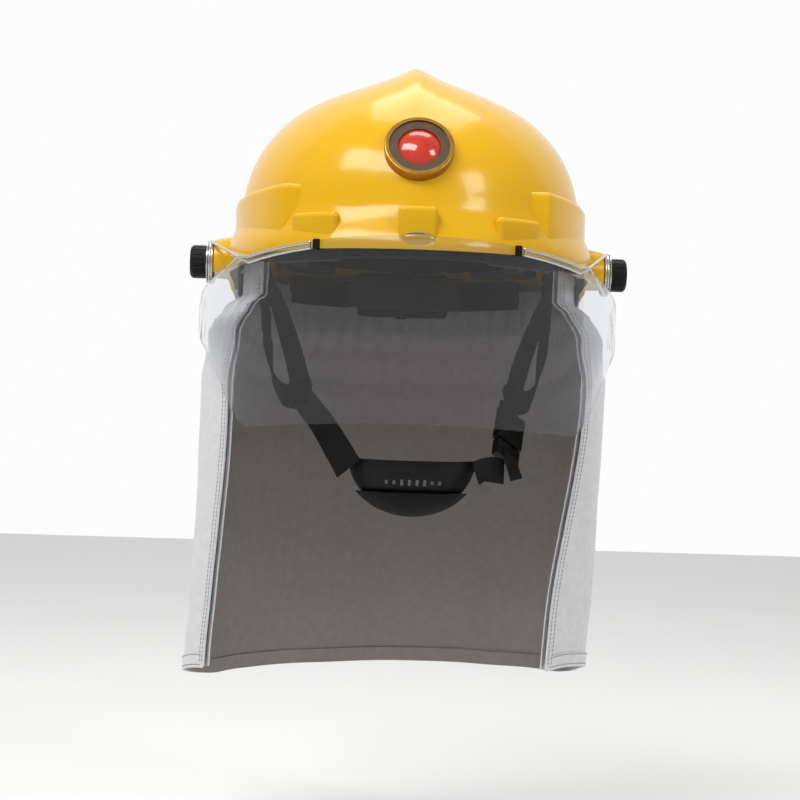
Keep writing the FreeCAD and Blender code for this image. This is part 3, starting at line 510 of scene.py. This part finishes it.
lower_right = [((-70.5, -49, -93), plan(-38)), ((-58, -64, -108), plan(-42)),
               ((-46, -79.5, -126), plan(-50)), ((-38.5, -88, -138), plan(-58))]
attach(strap("lower_webbing_right", "lower_strap_right", lower_right, CHEEK_WIDTH), "helmet")

# The buckle on the wearer's left ties three short lengths together: one up to the divider, one
# down to the cup, and the free end, which hangs from the plug.
bar_low = Vector((66, -72, -127))
bar_high = Vector((70, -56, -100))
pull = (bar_high - bar_low).normalized()
face = Vector((0.74, -0.66, 0.2))
face = (face - pull * face.dot(pull)).normalized()
breadth = face.cross(pull)
top_end = bar_low + pull * 30.6 + face * 0.2
upper_left = [(Vector((70, -48, -93)), (0.6, 0.78, 0)), (top_end + pull * 4.5, breadth),
              (top_end, breadth)]
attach(strap("upper_webbing_left", "upper_strap_left", upper_left, NARROW_WIDTH, THIN), "helmet")
low_end = bar_low + face * 0.2 - pull * 12.5
lower_left = [((45.5, -87, -139), (0.87, 0.5, -0.55)), ((53, -84.5, -136), (0.79, 0.62, -0.55)),
              (low_end, pull * -0.87 - breadth * 0.49)]
lower_piece = strap("lower_webbing_left", "lower_strap_left", lower_left, 0.017, THIN)
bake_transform(lower_piece)
tail_start = bar_low + face * 4.4 - pull
tail = [(tail_start, breadth), (tail_start - pull * 6 + face * 1.4, breadth),
        (tail_start + Vector((4.1, -5.4, -15.8)), breadth)]
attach(strap("webbing_tail", "strap_tail", tail, 0.014, THIN), "plug")

# ---- Neck shawl ----------------------------------------------------------------------------------
# Aluminised glass twill outside and grey cloth inside, gathered under the rim on a black knit
# band and sewn into a folded hem down each front edge and round the bottom.
SHAWL_TOP = -9.0
SHAWL_HEM = -289.0
HALF_GIRTH = 0.311          # metres of cloth from the middle of the back to a front edge
DROP = 0.28
CENTRE_Y = 10.0
FRONT_TURN = 122.0          # degrees from straight behind to a front edge, at the top
FRONT_LIFT = 19.0           # how much higher the hem hangs at the front
GATHER_FALL = 0.12          # the gathers end this far down
LEVELS = ((-9, 117.5, 129.0), (-40, 117.6, 129.2), (-58, 127.0, 137.5), (-80, 137.0, 146.5),
          (-112, 142.0, 150.0), (-200, 142.0, 150.0), (-300, 142.0, 150.0))


def eased(value, low, high):
    """0 below low, 1 above high, and a smooth S between."""
    t = min(1.0, max(0.0, (value - low) / (high - low)))
    return t * t * (3 - 2 * t)


def shawl_size(z, turn):
    """Half width and half length at a height; beside the rim's high sides the flare starts sooner."""
    z -= 30.0 * eased(abs(turn), 50, 92) * eased(-z, 4, 40)
    for (z0, w0, l0), (z1, w1, l1) in zip(LEVELS, LEVELS[1:]):
        if z >= z1:
            t = eased(z, z0, z1) if z > -112 else (z0 - z) / (z0 - z1)
            return w0 + (w1 - w0) * t, l0 + (l1 - l0) * t
    return LEVELS[-1][1:]


def front_edge(share, fall):
    """Degrees from straight behind to the front edge on the side that share is on."""
    if share > 0:
        return FRONT_TURN + 10.0 * eased(fall, 0.3, 0.9)
    return FRONT_TURN - 5.0 * eased(fall, 0.4, 1.0)


def shawl_point(share, fall, proud):
    """Point on the hanging cloth; share runs from -1 at the right front edge to 1 at the left."""
    turn = share * front_edge(share, fall)
    top = SHAWL_TOP + 7.0 * eased(abs(turn), 96, 108)
    foot = SHAWL_HEM + FRONT_LIFT * eased(abs(turn), 60, 125)
    z = top + (foot - top) * fall
    half_width, half_length = shawl_size(z, turn)
    hang = max(0.0, (fall - GATHER_FALL) / (1 - GATHER_FALL))
    angle = math.radians(turn)
    folds = 2.2 * hang * math.sin(angle * 7 + 0.7) + 1.5 * hang * math.sin(angle * 13 + 2)
    gather = 1.2 + 1.4 * eased(abs(turn), 75, 100)
    pleat = gather * math.exp(-((fall - GATHER_FALL) / 0.1) ** 2) * math.sin(angle * 46)
    crease = 2.6 * noise.noise(Vector((turn / 26.0, fall * 3.2, 4.0))) * hang
    slack = 1.0 * noise.noise(Vector((turn / 9.0, fall * 9.0, 8.0))) * hang
    calm = 1.0 - 0.6 * eased(abs(share), 0.94, 1.0)
    out = (folds * 0.8 + pleat + crease + slack) * calm - 2.4 * hang + proud
    x = (half_width + out) * math.sin(angle)
    y = CENTRE_Y + (half_length + out) * math.cos(angle)
    x -= 8.0 * fall ** 2
    level = 0.031 * x * fall
    return Vector((x, y, z + level - 3.0 * fall * max(0.0, math.cos(angle)))) * MM


def cloth(name, shares, falls, proud, thick, material):
    """Sheet of cloth over a range of the shawl's surface, with its lay in metres as UV."""
    verts = [shawl_point(share, fall, proud) for fall in falls for share in shares]
    wide = len(shares)
    faces = [(j * wide + i, j * wide + i + 1, (j + 1) * wide + i + 1, (j + 1) * wide + i)
             for j in range(len(falls) - 1) for i in range(wide - 1)]
    mesh = bpy.data.meshes.new(name)
    mesh.from_pydata(verts, [], faces)
    layer = mesh.uv_layers.new(name="lay")
    for loop in mesh.loops:
        j, i = divmod(loop.vertex_index, wide)
        layer.data[loop.index].uv = (shares[i] * HALF_GIRTH, falls[j] * -DROP)
    piece = bpy.data.objects.new(name, mesh)
    bpy.context.collection.objects.link(piece)
    apply_modifier(piece, "SOLIDIFY", thickness=thick, offset=0.0)
    bpy.ops.object.mode_set(mode="EDIT")
    bpy.ops.mesh.select_all(action="SELECT")
    bpy.ops.mesh.normals_make_consistent(inside=False)
    bpy.ops.object.mode_set(mode="OBJECT")
    bpy.ops.object.shade_smooth_by_angle(angle=math.radians(55))
    piece.data.materials.append(material)
    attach(piece, "helmet")
    return piece


def span(low, high, count):
    """Evenly spaced values, both ends included."""
    return [low + (high - low) * i / (count - 1) for i in range(count)]


def twill(name, dark, light, pitch, metallic, rough, slant=1.0, depth=0.5):
    """Diagonal rib cloth; pitch is the rib spacing in metres."""
    material, shader = new_material(name)
    lay = add(material, "ShaderNodeUVMap", uv_map="lay")
    split = add(material, "ShaderNodeSeparateXYZ", {0: lay.outputs[0]})
    lean = add(material, "ShaderNodeMath", {0: split.outputs["X"], 1: slant, 2: split.outputs["Y"]},
               operation="MULTIPLY_ADD")
    phase = add(material, "ShaderNodeMath", {0: lean.outputs[0], 1: 2 * math.pi / pitch},
                operation="MULTIPLY")
    rib = add(material, "ShaderNodeMath", {0: phase.outputs[0]}, operation="SINE")
    step = add(material, "ShaderNodeMath", {0: split.outputs["Y"], 1: 2 * math.pi / (pitch * 0.8)},
               operation="MULTIPLY")
    thread = add(material, "ShaderNodeMath", {0: step.outputs[0]}, operation="SINE")
    both_ways = add(material, "ShaderNodeMath", {0: thread.outputs[0], 1: 0.35, 2: rib.outputs[0]},
                    operation="MULTIPLY_ADD")
    relief = add(material, "ShaderNodeMath", {0: both_ways.outputs[0], 1: 0.37, 2: 0.5},
                 operation="MULTIPLY_ADD")
    blotch = add(material, "ShaderNodeTexNoise", {"Vector": lay.outputs[0], "Scale": 160.0, "Detail": 4.0})
    mix = add(material, "ShaderNodeMath", {0: relief.outputs[0], 1: blotch.outputs["Fac"]}, operation="ADD")
    half = add(material, "ShaderNodeMath", {0: mix.outputs[0], 1: 0.5}, operation="MULTIPLY")
    tone = add(material, "ShaderNodeMix", {"Factor": half.outputs[0], 6: linear(dark), 7: linear(light)},
               data_type="RGBA")
    skin = add(material, "ShaderNodeBump", {"Height": relief.outputs[0], "Strength": depth,
                                            "Distance": 0.0005})
    link(material, tone.outputs[2], shader, "Base Color")
    link(material, skin.outputs["Normal"], shader, "Normal")
    shader.inputs["Metallic"].default_value = metallic
    shader.inputs["Roughness"].default_value = rough
    return material


silver = twill("aluminised_twill", "BDBDC0", "EEEEF0", 0.0016, 0.3, 0.45)
lining_cloth = twill("lining_cloth", "7D7875", "A9A39F", 0.0012, 0.0, 0.85, slant=-1.0, depth=0.25)
OUTER_THICK = 0.0008
shares = span(-1, 1, 300)
falls = span(0, 1, 90)
outer_cloth = cloth("shawl_outer_cloth", shares, falls, -0.6, OUTER_THICK, silver)
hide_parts("neck_shawl")
inner_cloth = cloth("shawl_inner_cloth", shares[2:-2], falls[:-1], -2.6, 0.0006, lining_cloth)
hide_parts("shawl_lining")
dress(["shawl_header_band"], black_knit)

# Folded hems: a doubled edge 6 mm wide down each front and 9 mm deep round the bottom, each held
# by two rows of lockstitch in grey thread.
EDGE_HEM = 0.006
FOOT_HEM = 0.009
PAST_EDGE = 1.004            # a hem wraps just past the edge that it doubles
STITCH_RADIUS = 0.00028
STITCH_PROUD = 0.9          # millimetres outside the cloth
STITCH_GAP = 0.25           # share of a stitch length that is under the cloth
inset = EDGE_HEM / HALF_GIRTH
foot = FOOT_HEM / DROP
hems = []
for side, word in ((1, "left"), (-1, "right")):
    face_side = [side * share for share in span(1 - inset, PAST_EDGE, 5)]
    back_side = [side * share for share in span(1 - 1.5 * inset, PAST_EDGE, 6)]
    hems += [cloth("front_hem_" + word, face_side, falls, 0.4, OUTER_THICK, silver),
             cloth("front_facing_" + word, back_side, falls, -3.6, OUTER_THICK, silver)]
hems += [cloth("bottom_hem", shares, span(1 - foot, PAST_EDGE, 5), 0.4, OUTER_THICK, silver),
         cloth("bottom_facing", shares[2:-2], span(1 - foot, PAST_EDGE, 5), -3.5, OUTER_THICK,
               lining_cloth)]

thread, shader = new_material("polyester_thread")
coords = add(thread, "ShaderNodeTexCoord")
twist = add(thread, "ShaderNodeTexWave", {"Vector": coords.outputs["Object"], "Scale": 900.0})
tone = add(thread, "ShaderNodeMix", {"Factor": twist.outputs["Fac"], 6: linear("6E6E70"),
                                     7: linear("9A9A9C")}, data_type="RGBA")
link(thread, tone.outputs[2], shader, "Base Color")
shader.inputs["Roughness"].default_value = 0.7


def stitching(name, line):
    """A row of short rounded stitches: each pair of neighbouring points in line holds one."""
    mesh = bmesh.new()
    ring = [(math.cos(math.pi * k / 3), math.sin(math.pi * k / 3)) for k in range(6)]
    for start, end in zip(line, line[1:]):
        forward = end - start
        side = forward.cross(Vector((0.3, 0.5, 0.8))).normalized()
        up_way = forward.cross(side).normalized()
        rows = []
        for part, size in ((STITCH_GAP / 2, 0.4), (STITCH_GAP / 2 + 0.12, 1.0),
                           (0.88 - STITCH_GAP / 2, 1.0), (1 - STITCH_GAP / 2, 0.4)):
            centre = start + forward * part
            rows.append([mesh.verts.new(centre + (side * a + up_way * b) * STITCH_RADIUS * size)
                         for a, b in ring])
        for low, high in zip(rows, rows[1:]):
            for k in range(6):
                mesh.faces.new((low[k], low[(k + 1) % 6], high[(k + 1) % 6], high[k]))
        mesh.faces.new(rows[0])
        mesh.faces.new(rows[-1])
    bmesh.ops.recalc_face_normals(mesh, faces=mesh.faces)
    data = bpy.data.meshes.new(name)
    mesh.to_mesh(data)
    mesh.free()
    piece = bpy.data.objects.new(name, data)
    bpy.context.collection.objects.link(piece)
    activate(piece)
    bpy.ops.object.shade_smooth()
    data.materials.append(thread)
    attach(piece, "helmet")
    return piece


def stitch_row(name, lay, count):
    """One row along the path that lay gives as (share, fall) for a share of the way, 0 to 1."""
    line = [shawl_point(*lay(k / count), STITCH_PROUD) for k in range(count + 1)]
    row = stitching(name, line)
    return row


for side, word in ((1, "left"), (-1, "right")):
    for number, setback in (("1", 0.15), ("2", 0.85)):
        edge = side * (1 - inset * setback)
        hems.append(stitch_row("hem_stitches_" + word + "_" + number,
                               lambda t: (edge, 0.03 + 0.96 * t), 92))
for number, setback in (("1", 0.12), ("2", 0.88)):
    level_fall = 1 - foot * setback
    hems.append(stitch_row("foot_stitches_" + number, lambda t: (1.98 * t - 0.99, level_fall), 210))
